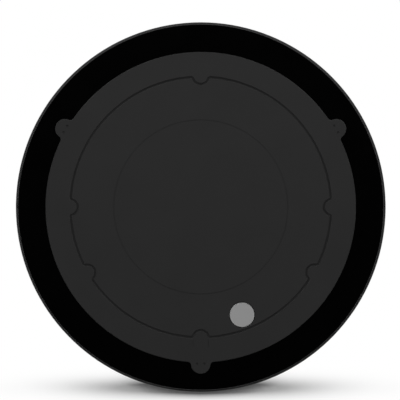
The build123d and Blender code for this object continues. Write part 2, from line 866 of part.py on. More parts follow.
def wheel_module(side, name):
    """Well, swing arm, motor, pivot pin, spring, axle, hub and tyre on one side."""
    pivot = (-pivot_arm_length, pivot_height)
    hub_centre = (0, wheel_radius)
    inner_wall_x = side * (well_inner_x - well_wall)
    outer_wall_x = side * (well_outer_x + well_wall)

    with BuildPart() as well:
        block(
            (inner_wall_x, well_front_y - well_wall, chassis_floor),
            (outer_wall_x, well_rear_y + well_wall, well_top + well_wall),
        )
        block(
            (side * well_inner_x, well_front_y, chassis_floor),
            (side * well_outer_x, well_rear_y, well_top),
            mode=Mode.SUBTRACT,
        )
        block(
            (side * (arm_inner_x + arm_stop_gap), -arm_stop_width / 2, arm_top + seat_gap),
            (side * (arm_outer_x - arm_stop_gap), arm_stop_width / 2, well_top),
        )
        rod(*pivot, inner_wall_x, side * well_inner_x, journal_radius + shaft_gap, mode=Mode.SUBTRACT)
        rod(*pivot, side * well_outer_x, outer_wall_x, pivot_pin_radius, mode=Mode.SUBTRACT)
    write(well, f"wheel_well_{name}")

    pin_end_x = side * (arm_outer_x - pivot_pin_grip_length)
    with BuildPart() as pivot_pin:
        rod(*pivot, pin_end_x, outer_wall_x, pivot_pin_radius)
    write(pivot_pin, f"pivot_pin_{name}")

    axle_inner_x = side * (arm_outer_x - axle_grip_length)
    journal_end_x = side * (arm_inner_x - journal_length)
    with BuildPart() as arm:
        with BuildSketch(Plane.YZ.offset(side * arm_inner_x)):
            with Locations(pivot):
                Circle(pivot_boss_radius)
            with Locations(hub_centre):
                Circle(axle_boss_radius)
            make_hull()
        extrude(amount=side * arm_width)
        rod(*pivot, side * arm_inner_x, journal_end_x, journal_radius)
        rod(
            *pivot,
            side * arm_outer_x,
            pin_end_x - side * slide_gap,
            pivot_pin_radius + shaft_gap,
            mode=Mode.SUBTRACT,
        )
        rod(
            *hub_centre,
            side * arm_outer_x,
            axle_inner_x - side * slide_gap,
            axle_radius + shaft_gap,
            mode=Mode.SUBTRACT,
        )
    write(arm, f"swing_arm_{name}")

    with BuildPart() as motor:
        rod(*pivot, journal_end_x, side * drive_motor_end_x, drive_motor_radius)
        fillet(motor.faces().filter_by(Axis.X).edges(), drive_motor_round)
    write(motor, f"drive_motor_{name}")

    with BuildPart() as spring:
        coil_bottom = arm_top + spring_wire_radius + shaft_gap
        coil_height = well_top - spring_wire_radius - shaft_gap - coil_bottom
        coil_centre = (side * (arm_inner_x + arm_width / 2), -pivot_arm_length / 2, coil_bottom)
        with BuildLine():
            path = Helix(coil_height / spring_turns, coil_height, spring_radius, center=coil_centre)
        with BuildSketch(Plane(origin=path @ 0, z_dir=path % 0)):
            Circle(spring_wire_radius)
        sweep()
    write(spring, f"suspension_spring_{name}")

    with BuildPart() as axle:
        rod(*hub_centre, axle_inner_x, side * (wheel_outer_x - axle_end_gap), axle_radius)
    write(axle, f"axle_{name}")

    hub_radius = wheel_radius - tyre_thickness
    recess_x = side * (wheel_outer_x - hub_recess_depth)
    with BuildPart() as hub:
        rod(*hub_centre, side * wheel_inner_x, side * wheel_outer_x, hub_radius)
        rod(*hub_centre, recess_x, side * wheel_outer_x, hub_radius - hub_rim_width, mode=Mode.SUBTRACT)
        rod(*hub_centre, recess_x, side * (wheel_outer_x - axle_end_gap), hub_boss_radius)
        with BuildSketch(Plane.YZ.offset(side * wheel_inner_x)):
            with Locations(hub_centre):
                with PolarLocations(hub_hole_ring_radius, hub_hole_count):
                    Circle(hub_hole_radius)
        extrude(amount=side * wheel_width, mode=Mode.SUBTRACT)
        rod(*hub_centre, side * wheel_inner_x, side * wheel_outer_x, axle_radius, mode=Mode.SUBTRACT)
    write(hub, f"wheel_hub_{name}")

    with BuildPart() as tyre:
        with BuildSketch(Plane.YZ.offset(side * wheel_inner_x)):
            with Locations(hub_centre):
                Circle(wheel_radius)
                Circle(hub_radius, mode=Mode.SUBTRACT)
                with PolarLocations(wheel_radius, tread_count):
                    Rectangle(2 * tread_depth, tread_width, mode=Mode.SUBTRACT)
        extrude(amount=side * wheel_width)
    write(tyre, f"tyre_{name}")


wheel_module(1, "right")
wheel_module(-1, "left")

# Caster socket: cup over the hole in the chassis, with a bore for the stem
socket_roof = caster_disc_top + slide_gap
socket_top = caster_disc_top + caster_stem_length
with BuildPart() as caster_socket:
    centre = (0, caster_y)
    post(centre, chassis_floor, socket_roof + socket_wall, caster_hole_radius + socket_wall)
    post(centre, chassis_floor, socket_roof, caster_hole_radius, mode=Mode.SUBTRACT)
    post(centre, socket_roof + socket_wall, socket_top, caster_stem_radius + socket_boss_wall)
    post(centre, socket_roof, socket_top, caster_stem_radius + shaft_gap, mode=Mode.SUBTRACT)
write(caster_socket, "caster_socket")

# Caster fork: turntable with a stem and two cheeks that hold the wheel
cheek_inner_x = caster_wheel_width / 2 + slide_gap
cheek_outer_x = cheek_inner_x + cheek_thickness
cheek_rise = caster_disc_bottom - caster_wheel_radius
with BuildPart() as caster_fork:
    centre = (0, caster_y)
    post(centre, caster_disc_bottom, caster_disc_top, caster_hole_radius - 2 * slide_gap)
    post(centre, caster_disc_top, socket_top - slide_gap, caster_stem_radius)
    for side in (1, -1):
        with BuildSketch(Plane.YZ.offset(side * cheek_inner_x)):
            with Locations((caster_axle_y, caster_wheel_radius)):
                Circle(cheek_width / 2)
            with Locations((caster_axle_y, caster_wheel_radius + cheek_rise / 2)):
                Rectangle(cheek_width, cheek_rise)
        extrude(amount=side * cheek_thickness)
    rod(
        caster_axle_y,
        caster_wheel_radius,
        -cheek_outer_x,
        cheek_outer_x,
        caster_axle_radius,
        mode=Mode.SUBTRACT,
    )
write(caster_fork, "caster_fork")

with BuildPart() as caster_axle:
    rod(caster_axle_y, caster_wheel_radius, -cheek_outer_x, cheek_outer_x, caster_axle_radius)
write(caster_axle, "caster_axle")

with BuildPart() as caster_wheel:
    half = caster_wheel_width / 2
    rod(caster_axle_y, caster_wheel_radius, -half, half, caster_wheel_radius)
    fillet(caster_wheel.edges().filter_by(GeomType.CIRCLE), caster_wheel_round)
    rod(caster_axle_y, caster_wheel_radius, -half, half, caster_axle_radius + shaft_gap, mode=Mode.SUBTRACT)
write(caster_wheel, "caster_wheel")

# Brush well: box over the brush, open below, with a window to the bin
with BuildPart() as brush_well:
    block(
        (-brush_well_x - well_wall, brush_y - brush_well_half - well_wall, chassis_floor),
        (brush_well_x + well_wall, brush_well_rear_y, brush_well_top + well_wall),
    )
    block(
        (-brush_well_x, brush_y - brush_well_half, chassis_floor),
        (brush_well_x, brush_y + brush_well_half, brush_well_top),
        mode=Mode.SUBTRACT,
    )
    block(
        (-inlet_half_width, brush_y, inlet_bottom),
        (inlet_half_width, brush_well_rear_y, inlet_top),
        mode=Mode.SUBTRACT,
    )
write(brush_well, "brush_well")

# Brush blades: rubber fins in a V, twisted about the brush's axis
blade_inner_radius = brush_core_radius - blade_root_depth
blade_height = brush_radius - blade_inner_radius


def blade_section(x, angle):
    """Face of one blade's section at a place along the brush."""
    outward = (0, cos(radians(angle)), sin(radians(angle)))
    with BuildSketch(Plane(origin=(x, brush_y, brush_height), x_dir=outward, z_dir=(1, 0, 0))) as section:
        with Locations((blade_inner_radius + blade_height / 2, 0)):
            Rectangle(blade_height, blade_thickness)
    return section.sketch.face()


with BuildPart() as brush_blades:
    for k in range(blade_count):
        start_angle = 360 / blade_count * k
        for side in (1, -1):
            shares = [n / blade_steps for n in range(blade_steps + 1)]
            sections = [
                blade_section(side * brush_half_length * share, start_angle + blade_twist_angle * share)
                for share in shares
            ]
            loft(sections, ruled=True)
write(brush_blades, "brush_blades")

# Brush core with its slots for the blades and a shaft end on each side
with BuildPart() as brush_core:
    shaft_end_x = brush_half_length + bush_length
    rod(brush_y, brush_height, -brush_half_length, brush_half_length, brush_core_radius)
    rod(brush_y, brush_height, -shaft_end_x, shaft_end_x, brush_shaft_radius)
    add(brush_blades.part, mode=Mode.SUBTRACT)
write(brush_core, "brush_core")

# Bushes that carry the brush's shaft ends
with BuildPart() as brush_bushes:
    for side in (1, -1):
        start_x = side * (brush_half_length + brush_end_gap)
        end_x = side * brush_well_x
        rod(brush_y, brush_height, start_x, end_x, bush_radius)
        rod(brush_y, brush_height, start_x, end_x, brush_shaft_radius + shaft_gap, mode=Mode.SUBTRACT)
write(brush_bushes, "brush_bushes")

# Frame round the brush opening, flush with the chassis
with BuildPart() as brush_frame:
    frame_half = brush_well_half - seat_gap
    opening_half = brush_radius + brush_frame_gap
    block(
        (-brush_well_x + seat_gap, brush_y - frame_half, ground_clearance),
        (brush_well_x - seat_gap, brush_y + frame_half, chassis_floor),
    )
    block(
        (-brush_half_length - slide_gap, brush_y - opening_half, ground_clearance),
        (brush_half_length + slide_gap, brush_y + opening_half, chassis_floor),
        mode=Mode.SUBTRACT,
    )
write(brush_frame, "brush_frame")

# Gearbox and motor that turn the brush, beside its well
gearbox_start_x = brush_well_x + well_wall
gearbox_end_x = gearbox_start_x + gearbox_width
gearbox_front_y = max(well_rear_y + well_wall + slide_gap, brush_y - bush_radius)
with BuildPart() as brush_gearbox:
    block(
        (gearbox_start_x, gearbox_front_y, chassis_floor),
        (gearbox_end_x, brush_well_rear_y, brush_well_top),
    )
    fillet(brush_gearbox.edges().filter_by(Axis.X), gearbox_round)
write(brush_gearbox, "brush_gearbox")

with BuildPart() as brush_motor:
    motor_y = (gearbox_front_y + brush_well_rear_y) / 2
    motor_z = (chassis_floor + brush_well_top) / 2
    rod(motor_y, motor_z, gearbox_end_x, gearbox_end_x + brush_motor_length, brush_motor_radius)
    fillet(brush_motor.faces().filter_by(Axis.X).sort_by(Axis.X)[-1].edges(), brush_motor_round)
write(brush_motor, "brush_motor")

# Dust bin: open box with an inlet and a filter window in its front wall
with BuildPart() as bin_body:
    extrude(bin_outline(0, bin_bottom), amount=bin_top - bin_bottom)
    extrude(
        bin_outline(bin_wall, bin_bottom + bin_wall),
        amount=bin_top - bin_bottom - bin_wall,
        mode=Mode.SUBTRACT,
    )
    block(
        (-inlet_half_width, bin_front_y, inlet_bottom),
        (inlet_half_width, bin_front_y + bin_wall, inlet_top),
        mode=Mode.SUBTRACT,
    )
    block(
        (-filter_half_width, bin_front_y, filter_bottom),
        (filter_half_width, bin_front_y + bin_wall, filter_top),
        mode=Mode.SUBTRACT,
    )
write(bin_body, "bin_body")

with BuildPart() as bin_cover:
    extrude(bin_outline(0, bin_top), amount=bin_cover_thickness)
write(bin_cover, "bin_cover")

# Filter frame behind the front wall, and the pleated filter in it
frame_y = bin_front_y + bin_wall
with BuildPart() as filter_frame:
    frame_half_width = filter_half_width + filter_frame_width
    block(
        (-frame_half_width, frame_y, filter_bottom - filter_frame_width),
        (frame_half_width, frame_y + filter_depth, bin_top - seat_gap),
    )
    block(
        (-filter_half_width, frame_y, filter_bottom),
        (filter_half_width, frame_y + filter_depth, filter_top),
        mode=Mode.SUBTRACT,
    )
write(filter_frame, "filter_frame")

with BuildPart() as bin_filter:
    pitch = 2 * filter_half_width / filter_pleats
    far_y = frame_y + filter_depth - filter_fold_thickness
    folds = [(-filter_half_width, frame_y)]
    for k in range(filter_pleats):
        folds.append((-filter_half_width + pitch * (k + 0.5), far_y))
        folds.append((-filter_half_width + pitch * (k + 1), frame_y))
    back = [(x, y + filter_fold_thickness) for x, y in reversed(folds)]
    with BuildSketch(Plane.XY.offset(filter_bottom)):
        with BuildLine():
            Polyline(*folds, *back, close=True)
        make_face()
    extrude(amount=filter_top - filter_bottom)
write(bin_filter, "bin_filter")

# Outer face of the bin, part of the disc's side, with a hole for the latch
latch_bottom = latch_middle - latch_height / 2
latch_top = latch_middle + latch_height / 2
with BuildPart() as bin_face:
    ring_block(bin_rear_radius, body_radius, bin_bottom, face_top, 0, 180)
    block(
        (-face_half_width, bin_front_y, bin_bottom),
        (face_half_width, body_radius, face_top),
        mode=Mode.INTERSECT,
    )
    block(
        (-latch_half_width - seat_gap, bin_front_y, latch_bottom - seat_gap),
        (latch_half_width + seat_gap, body_radius, latch_top + seat_gap),
        mode=Mode.SUBTRACT,
    )
write(bin_face, "bin_face")

with BuildPart() as bin_latch:
    ring_block(body_radius - latch_thickness, body_radius, latch_bottom, latch_top, 0, 180)
    block(
        (-latch_half_width, bin_front_y, latch_bottom),
        (latch_half_width, body_radius, latch_top),
        mode=Mode.INTERSECT,
    )
write(bin_latch, "bin_latch")

# Suction fan: scroll with an outlet duct to the exhaust slots
fan_place = (fan_x, fan_y)
with BuildPart() as fan_housing:
    duct_outer = duct_half_width + fan_wall
    post(fan_place, fan_bottom, fan_top, fan_radius)
    block(
        (-duct_reach, duct_middle_y - duct_outer, duct_bottom - fan_wall),
        (fan_x, duct_middle_y + duct_outer, duct_top + fan_wall),
    )
    block(
        (-duct_reach, duct_middle_y - duct_half_width, duct_bottom),
        (fan_x, duct_middle_y + duct_half_width, duct_top),
        mode=Mode.SUBTRACT,
    )
    post(fan_place, fan_floor, fan_top - fan_wall, fan_radius - fan_wall, mode=Mode.SUBTRACT)
    post(fan_place, fan_top - fan_wall, fan_top, fan_inlet_radius, mode=Mode.SUBTRACT)
write(fan_housing, "fan_housing")

# Suction duct from the bin's filter window, up and over to the fan's inlet
suction_rear_y = bin_front_y - slide_gap
suction_front_y = suction_rear_y - suction_depth
suction_half_width = fan_inlet_radius + suction_wall
with BuildPart() as suction_duct:
    block(
        (-filter_half_width - suction_wall, suction_front_y, filter_bottom - suction_wall),
        (filter_half_width + suction_wall, suction_rear_y, suction_top),
    )
    block(
        (fan_x - suction_half_width, fan_y - suction_half_width, fan_top),
        (fan_x + suction_half_width, suction_front_y, suction_top),
    )
    block(
        (-filter_half_width, suction_front_y + suction_wall, filter_bottom),
        (filter_half_width, suction_rear_y - suction_wall, suction_top - suction_wall),
        mode=Mode.SUBTRACT,
    )
    block(
        (-filter_half_width, suction_rear_y - suction_wall, filter_bottom),
        (filter_half_width, suction_rear_y, filter_top),
        mode=Mode.SUBTRACT,
    )
    block(
        (fan_x - fan_inlet_radius, fan_y - fan_inlet_radius, fan_top + suction_wall),
        (fan_x + fan_inlet_radius, suction_front_y + suction_wall, suction_top - suction_wall),
        mode=Mode.SUBTRACT,
    )
    post(fan_place, fan_top, fan_top + suction_wall, fan_inlet_radius, mode=Mode.SUBTRACT)
write(suction_duct, "suction_duct")

# Fan motor in the scroll's floor, with its shaft
hub_top = disc_top + impeller_gap
with BuildPart() as fan_motor:
    post(fan_place, fan_floor, fan_motor_top, fan_motor_radius)
    post(fan_place, fan_motor_top, hub_top, fan_shaft_radius)
write(fan_motor, "fan_motor")

# Impeller: disc with blades hanging round the motor
with BuildPart() as fan_impeller:
    vane_inner_radius = fan_motor_radius + impeller_gap + impeller_tip_gap
    vane_outer_radius = impeller_radius - impeller_tip_gap
    vane_bottom = fan_floor + impeller_gap
    post(fan_place, disc_bottom, disc_top, impeller_radius)
    post(fan_place, disc_top, hub_top, impeller_hub_radius)
    with BuildSketch(Plane.XY.offset(vane_bottom)):
        with Locations(fan_place):
            with PolarLocations((vane_inner_radius + vane_outer_radius) / 2, impeller_blades):
                Rectangle(
                    vane_outer_radius - vane_inner_radius,
                    impeller_disc_thickness,
                    rotation=impeller_blade_angle,
                )
    extrude(amount=disc_bottom - vane_bottom)
    post(fan_place, disc_bottom, hub_top, fan_shaft_radius + shaft_gap, mode=Mode.SUBTRACT)
write(fan_impeller, "fan_impeller")

# Main board on its posts
with BuildPart() as main_board:
    block(
        (-board_half_width, board_front_y, board_height),
        (board_half_width, board_rear_y, board_top),
    )
    fillet(main_board.edges().filter_by(Axis.Z), board_round)
    for corner in board_corners:
        post(corner, board_height, board_top, board_screw_radius + seat_gap, mode=Mode.SUBTRACT)
write(main_board, "main_board")

with BuildPart() as board_components:
    for (x, y), (length, width), height in components:
        block(
            (x - length / 2, board_middle_y + y - width / 2, board_top),
            (x + length / 2, board_middle_y + y + width / 2, board_top + height),
        )
    for x, y in capacitors:
        post((x, board_middle_y + y), board_top, board_top + capacitor_height, capacitor_radius)
write(board_components, "board_components")

with BuildPart() as board_screws:
    for corner in board_corners:
        post(corner, board_top - board_screw_length, board_top, board_screw_radius)
        post(corner, board_top, board_top + board_screw_head_height, board_screw_head_radius)
write(board_screws, "board_screws")

# Battery pack of round cells side by side in a wrap, and the door below it with grooves for the fingers
with BuildPart() as battery_pack:
    battery_bottom = chassis_floor + battery_lift
    with BuildSketch(Plane.XZ.offset(-battery_middle_y - cell_length / 2)):
        with Locations((0, battery_bottom + cell_radius)):
            with GridLocations(2 * cell_radius, 1, cell_count, 1):
                Circle(cell_radius)
            Rectangle(2 * (battery_half_width - cell_radius), wrap_height)
    extrude(amount=cell_length)
write(battery_pack, "battery_pack")

door_half_width = bay_half_width - seat_gap
door_half_length = bay_half_length - seat_gap
door_screw_places = [
    (side * (door_half_width - door_screw_gap), battery_middle_y - door_half_length + door_screw_gap)
    for side in (1, -1)
]
with BuildPart() as battery_door:
    block(
        (-door_half_width, battery_middle_y - door_half_length, ground_clearance),
        (door_half_width, battery_middle_y + door_half_length, chassis_floor),
    )
    for place in door_screw_places:
        post(place, ground_clearance, chassis_floor, screw_head_radius + shaft_gap, mode=Mode.SUBTRACT)
    for k in range(grip_count):
        groove_y = battery_middle_y + door_half_length - grip_edge_gap - k * grip_pitch
        block(
            (-grip_length / 2, groove_y - grip_width / 2, ground_clearance),
            (grip_length / 2, groove_y + grip_width / 2, ground_clearance + grip_depth),
            mode=Mode.SUBTRACT,
        )
write(battery_door, "battery_door")

with BuildPart() as battery_door_screws:
    for place in door_screw_places:
        post(place, ground_clearance + seat_gap, chassis_floor, screw_head_radius)
write(battery_door_screws, "battery_door_screws")

# Screws from below into the housing's posts
with BuildPart() as chassis_screws:
    head_top = ground_clearance + screw_head_height
    for angle in post_angles:
        place = polar(post_ring_radius, angle)
        post(place, head_top, chassis_floor + screw_length - slide_gap, screw_radius)
        post(place, ground_clearance + seat_gap, head_top, screw_head_radius)
write(chassis_screws, "chassis_screws")

# Charging contacts, standing a little proud of the underside
with BuildPart() as charge_contacts:
    contact_plates(ground_clearance - contact_proud)
write(charge_contacts, "charge_contacts")

# Windows over the drop sensors in the underside
with BuildPart() as drop_sensor_windows:
    lens_holes()
write(drop_sensor_windows, "drop_sensor_windows")
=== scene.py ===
import json
from math import cos, pi, radians, sin

import bmesh
import bpy
from mathutils import Matrix, Vector


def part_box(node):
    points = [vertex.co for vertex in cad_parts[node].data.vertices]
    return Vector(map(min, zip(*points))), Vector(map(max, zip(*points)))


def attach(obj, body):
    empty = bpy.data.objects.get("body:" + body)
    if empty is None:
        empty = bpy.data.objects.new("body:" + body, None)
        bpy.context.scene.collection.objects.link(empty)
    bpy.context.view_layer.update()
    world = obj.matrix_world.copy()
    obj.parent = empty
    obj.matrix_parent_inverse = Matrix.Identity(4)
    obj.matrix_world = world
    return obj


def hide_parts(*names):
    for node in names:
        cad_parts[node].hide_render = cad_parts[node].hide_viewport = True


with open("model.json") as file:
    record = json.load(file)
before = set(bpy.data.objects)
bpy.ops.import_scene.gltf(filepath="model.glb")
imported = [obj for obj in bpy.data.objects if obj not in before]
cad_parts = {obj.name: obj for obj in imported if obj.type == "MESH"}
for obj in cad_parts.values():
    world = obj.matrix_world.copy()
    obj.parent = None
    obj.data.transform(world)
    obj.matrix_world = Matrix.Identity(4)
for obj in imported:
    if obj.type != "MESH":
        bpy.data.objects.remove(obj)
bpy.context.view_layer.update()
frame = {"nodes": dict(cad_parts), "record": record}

# Lengths are in metres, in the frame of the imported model
MM = 0.001

# Camera straight above, with the photograph's up along +Y
camera_height = 4.07
camera_place = (-0.00067, 0.0064)
frame_plane = 0.07
frame_width = 0.35687

# Floor: its paleness, and the painted shade where the object meets it, its colour darkened by ambient
# occlusion
floor_half = 12.0
floor_level = 0.92
painted_contact_level = 0.2
painted_contact_dark = 0.55
painted_contact_reach = 0.07

# Band in front of the object where the floor's white is held back and its shading shows: a painted shadow,
# its outline drawn by this band, its inside the floor's real shading and painted contact shade
painted_shadow_middle = -0.1642
painted_shadow_reach = 0.211
painted_shadow_spread = 0.0081
painted_shadow_strength = 1.45
painted_shadow_limit = 0.93

# Share of white on the floor, as (distance from the axis, share)
floor_rings = [(0.16, 0), (0.168, 1), (0.265, 1), (0.32, 0.3), (0.5, 0.3), (0.9, 1)]

# Lamps
lamp_target = (0, 0, 0.04)
key_place = (0, 0.16, 3.0)
key_size = (0.25, 0.33)
key_power = 68
fill_places = {"left_fill": (-0.6, 0.75, 0.55), "right_fill": (0.6, 0.75, 0.55)}
fill_size = (0.5, 0.5)
fill_power = 3.8

# Sky, as (height above the horizon, level)
sky_low = (0.0, 0.7)
sky_middle = (0.3, 0.2)
sky_high = (0.75, 0.01)

# Plastic: clouding, edges rubbed lighter, and scratches underneath
cloud_size = 28 * MM
worn_edge = 0.5 * MM
worn_patch = 6 * MM
worn_lightness = 1.9
scratch_width = 0.7 * MM
scratch_stretch = (1, 0.03, 1)
scratch_depth = 0.004 * MM
scratch_lightness = 3.2

# Rubber: dust and pores
rubber_dust_size = 9 * MM
pore_size = 0.5 * MM
pore_depth = 0.02 * MM

# Metal: tool marks and dull patches
tool_mark_width = 0.5 * MM
tool_mark_depth = 0.004 * MM
metal_haze_size = 7 * MM

# Sensor window and smoky bin: smears, haze and ripples
smear_size = 14 * MM
smear_stretch = (0.4, 0.4, 1)
smear_depth = 0.01 * MM
smoke_haze_size = 18 * MM
smoke_ripple_size = 0.8 * MM
smoke_ripple_depth = 0.004 * MM

# Filter paper: fibres and the dust in them
fibre_size = 0.6 * MM
fibre_stretch = (1, 1, 0.25)
fibre_depth = 0.05 * MM
filter_dust_size = 11 * MM
filter_dust_colour = (0.36, 0.34, 0.31)

# Circuit board: copper runs, plated holes and the mask over them
track_field_size = 13 * MM
track_pitch = 1.4 * MM
track_share = 0.4
track_depth = 0.03 * MM
plated_hole_spacing = 5 * MM
plated_hole_share = 0.13
plating_colour = (0.55, 0.42, 0.2)
mask_patch_size = 3 * MM

# Film round the cells: folds, and a band placed as a share of their length
fold_size = 3 * MM
fold_stretch = (1, 0.12, 1)
fold_depth = 0.08 * MM
band_place = 0.14
band_half_width = 0.03
band_colour = (0.5, 0.5, 0.52)

# Caster: scuffs on its tread
tread_scuff_size = 2 * MM
tread_scuff_stretch = (0.3, 1, 1)
tread_scuff_depth = 0.02 * MM
tread_scuff_colour = (0.18, 0.17, 0.16)

# Middle of the deck ring, where the rim's gloss gives way to the bare ledge
ledge_radius = (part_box("deck_ring")[1][0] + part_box("lid")[1][0]) / 2

# Screws with a cross recess: name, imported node, head height, shaft radius and whether the head faces up
screw_rows = [
    ("chassis_cross_screws", "chassis_screws", 1.1 * MM, 1.5 * MM, False),
    ("door_cross_screws", "battery_door_screws", 1.4 * MM, None, False),
    ("board_cross_screws", "board_screws", 1.4 * MM, 1.2 * MM, True),
]
screw_edge = 0.35 * MM
screw_reach = 9 * MM
screw_turn = 37
recess_width = 0.9 * MM
recess_depth = 1.0 * MM
recess_head_share = 0.62
recess_height_share = 0.7
recess_excess = 1.05

# Parts on the main board, in millimetres: place from its middle, plan size and height
chips = [((-20, 0), 24, 2.4), ((18, 4), 14, 1.6)]
sockets = [((-32, -31), (22, 9), 8.0), ((-6, -34), (16, 8), 8.0), ((10, 31), (30, 7), 7.0)]
coils = [((42, 18), (12, 10), 6.0), ((-30, 28), (10, 10), 5.0)]
capacitors = [(46, -8), (46, -20), (-46, -8)]
chip_lift = 0.2
leg_reach = 1.2
leg_pitch = 1.27
leg_width = 0.5
leg_thickness = 0.2
leg_corner_gap = 1.0
foot_length = 0.6
socket_base = 1.2
socket_wall = 0.8
socket_end_room = 4.0
pin_pitch = 2.5
pin_width = 0.6
pin_drop = 1.5
coil_flange_share = 0.22
coil_core_share = 0.42
coil_steps = 12
coil_wire_share = 0.06
capacitor_radius = 4.0
capacitor_height = 11.0

# Outline of a capacitor's sleeve and of its bare top, as shares of its radius and height
sleeve_outline = [
    (0, 0), (1, 0), (1, 0.1), (0.9, 0.14), (1, 0.18), (1, 0.95), (0.93, 0.985), (0.84, 0.985), (0, 0.975)
]
can_outline = [(0, 0.9), (0.83, 0.9), (0.83, 0.99), (0, 1)]


class Look:
    """A procedural material, put together around one shader."""

    def __init__(self, name, **constants):
        self.material = bpy.data.materials.new(name)
        self.material.use_nodes = True
        self.tree = self.material.node_tree
        self.shader = self.tree.nodes["Principled BSDF"]
        self.place = self.add("TexCoord").outputs["Object"]
        self.normal = None
        for key, value in constants.items():
            self.set(key.replace("_", " "), value)

    def add(self, kind, inputs=None, **settings):
        """Adds a node. An input is a value or the output of another node."""
        made = self.tree.nodes.new(f"ShaderNode{kind}")
        for key, value in settings.items():
            setattr(made, key, value)
        for key, value in (inputs or {}).items():
            self.join(made.inputs[key], value)
        return made

    def join(self, socket, value):
        """Gives a socket a value or the output of a node."""
        if isinstance(value, bpy.types.NodeSocket):
            self.tree.links.new(value, socket)
        else:
            socket.default_value = value

    def set(self, key, value):
        """Gives one of the shader's sockets a value or the output of a node."""
        self.join(self.shader.inputs[key], value)

    def tint(self):
        """What the shader's colour is joined to."""
        return self.shader.inputs["Base Color"].links[0].from_socket

    def noise(self, size, detail=3.0, stretch=(1, 1, 1)):
        """Noise with patches of a size, drawn out along an axis by a stretch below 1."""
        place = self.add("Mapping", {"Vector": self.place, "Scale": stretch}).outputs["Vector"]
        return self.add("TexNoise", {"Vector": place, "Scale": 1 / size, "Detail": detail}).outputs[0]

    def between(self, factor, low, high, start=0.3, end=0.7):
        """Value that runs from low to high while a factor runs from start to end."""
        limits = {"From Min": start, "From Max": end, "To Min": low, "To Max": high}
        return self.add("MapRange", {"Value": factor, **limits}).outputs["Result"]

    def blend(self, factor, first, second):
        """Two colours mixed by a factor."""
        return self.add("MixRGB", {"Fac": factor, "Color1": first, "Color2": second}).outputs["Color"]

    def math(self, operation, first, second=0.0):
        """One sum of two values."""
        return self.add("Math", {0: first, 1: second}, operation=operation).outputs[0]

    def axes(self):
        """The three coordinates of a point of the surface."""
        return self.add("SeparateXYZ", {"Vector": self.place}).outputs

    def edges(self, width):
        """Factor that is 1 along sharp edges and 0 on open faces."""
        rounded = self.add("Bevel", {"Radius": width}, samples=4).outputs["Normal"]
        flat = self.add("NewGeometry").outputs["Normal"]
        likeness = self.add("VectorMath", {0: rounded, 1: flat}, operation="DOT_PRODUCT").outputs["Value"]
        return self.between(likeness, 1, 0, 0.8, 0.99)

    def relief(self, height, depth):
        """Bumps of a depth on the surface."""
        bump = self.add("Bump", {"Height": height, "Distance": depth, "Strength": 1.0})
        if self.normal:
            self.join(bump.inputs["Normal"], self.normal)
        self.normal = bump.outputs["Normal"]
        self.set("Normal", self.normal)


def grey(level):
    """Neutral colour of a level."""
    return (level, level, level)


def shade(colour, factor=1):
    """Colour made lighter or darker by a factor."""
    return (*(part * factor for part in colour), 1)


def plastic(
    name, colour, rough=0.55, gloss=0.35, grain=0.45 * MM, depth=0.012 * MM, mottle=0.08, wear=0.35, haze=0.06
):
    """Moulded plastic with a fine grain, faint clouding and edges rubbed lighter."""
    look = Look(name, Specular_IOR_Level=gloss)
    clouds = look.noise(cloud_size, 4)
    speckle = look.noise(grain, 1)
    tint = look.blend(look.between(clouds, 0, 1), shade(colour, 1 - mottle), shade(colour, 1 + mottle))
    tint = look.blend(look.between(speckle, 0, 0.5), tint, shade(colour, 1 + 2 * mottle))
    rubbed = look.math("MULTIPLY", look.edges(worn_edge), look.between(look.noise(worn_patch), 0, wear))
    look.set("Base Color", look.blend(rubbed, tint, shade(colour, worn_lightness)))
    look.set("Roughness", look.between(clouds, rough - haze, rough + haze))
    look.relief(speckle, depth)
    return look


def scuffed(name, colour, rough=0.55):
    """Moulded plastic with light scratches along the way it is driven and dust in its clouding."""
    look = plastic(name, colour, rough, mottle=0.12, wear=0.6)
    scratches = look.noise(scratch_width, 2, scratch_stretch)
    marks = look.between(scratches, 0, 0.55, 0.66, 0.74)
    look.set("Base Color", look.blend(marks, look.tint(), shade(colour, scratch_lightness)))
    look.relief(scratches, scratch_depth)
    return look


def rim_plastic(name, colour, inner_colour, inner_radius):
    """Gloss black rim, with the bare plastic of the ledge inside a radius."""
    look = plastic(name, colour, rough=0.3, gloss=0.12, grain=0.6 * MM, depth=0.003 * MM, wear=0.2, haze=0.02)
    x, y, _ = look.axes()
    flat = look.add("CombineXYZ", {"X": x, "Y": y}).outputs["Vector"]
    radius = look.add("VectorMath", {0: flat}, operation="LENGTH").outputs["Value"]
    inside = look.math("LESS_THAN", radius, inner_radius)
    look.set("Base Color", look.blend(inside, look.tint(), shade(inner_colour)))
    return look


def rubber(name, colour, rough=0.8):
    """Soft rubber, dull and a little dusty, with fine pores."""
    look = Look(name, Specular_IOR_Level=0.3, Sheen_Weight=0.12, Sheen_Roughness=0.5)
    dust = look.noise(rubber_dust_size, 5)
    pores = look.noise(pore_size, 2)
    look.set("Base Color", look.blend(look.between(dust, 0, 0.6), shade(colour, 0.8), shade(colour, 1.9)))
    look.set("Roughness", look.between(dust, rough - 0.08, rough + 0.1))
    look.relief(pores, pore_depth)
    return look


def metal(name, colour, rough=0.3, stretch=(1, 1, 1)):
    """Bare metal with fine tool marks and dull patches."""
    look = Look(name, Metallic=1.0)
    marks = look.noise(tool_mark_width, 2, stretch)
    haze = look.noise(metal_haze_size, 3)
    look.set("Base Color", look.blend(look.between(haze, 0, 1), shade(colour, 0.85), shade(colour, 1.1)))
    look.set("Roughness", look.between(haze, rough - 0.08, rough + 0.1))
    look.relief(marks, tool_mark_depth)
    return look


def window(name, colour):
    """Smooth dark sensor window with faint smears."""
    look = Look(name, Specular_IOR_Level=0.5, Coat_Weight=0.3, Coat_Roughness=0.05)
    smears = look.noise(smear_size, 5, smear_stretch)
    look.set("Base Color", look.blend(look.between(smears, 0, 1), shade(colour, 0.8), shade(colour, 1.6)))
    look.set("Roughness", look.between(smears, 0.06, 0.16))
    look.relief(smears, smear_depth)
    return look


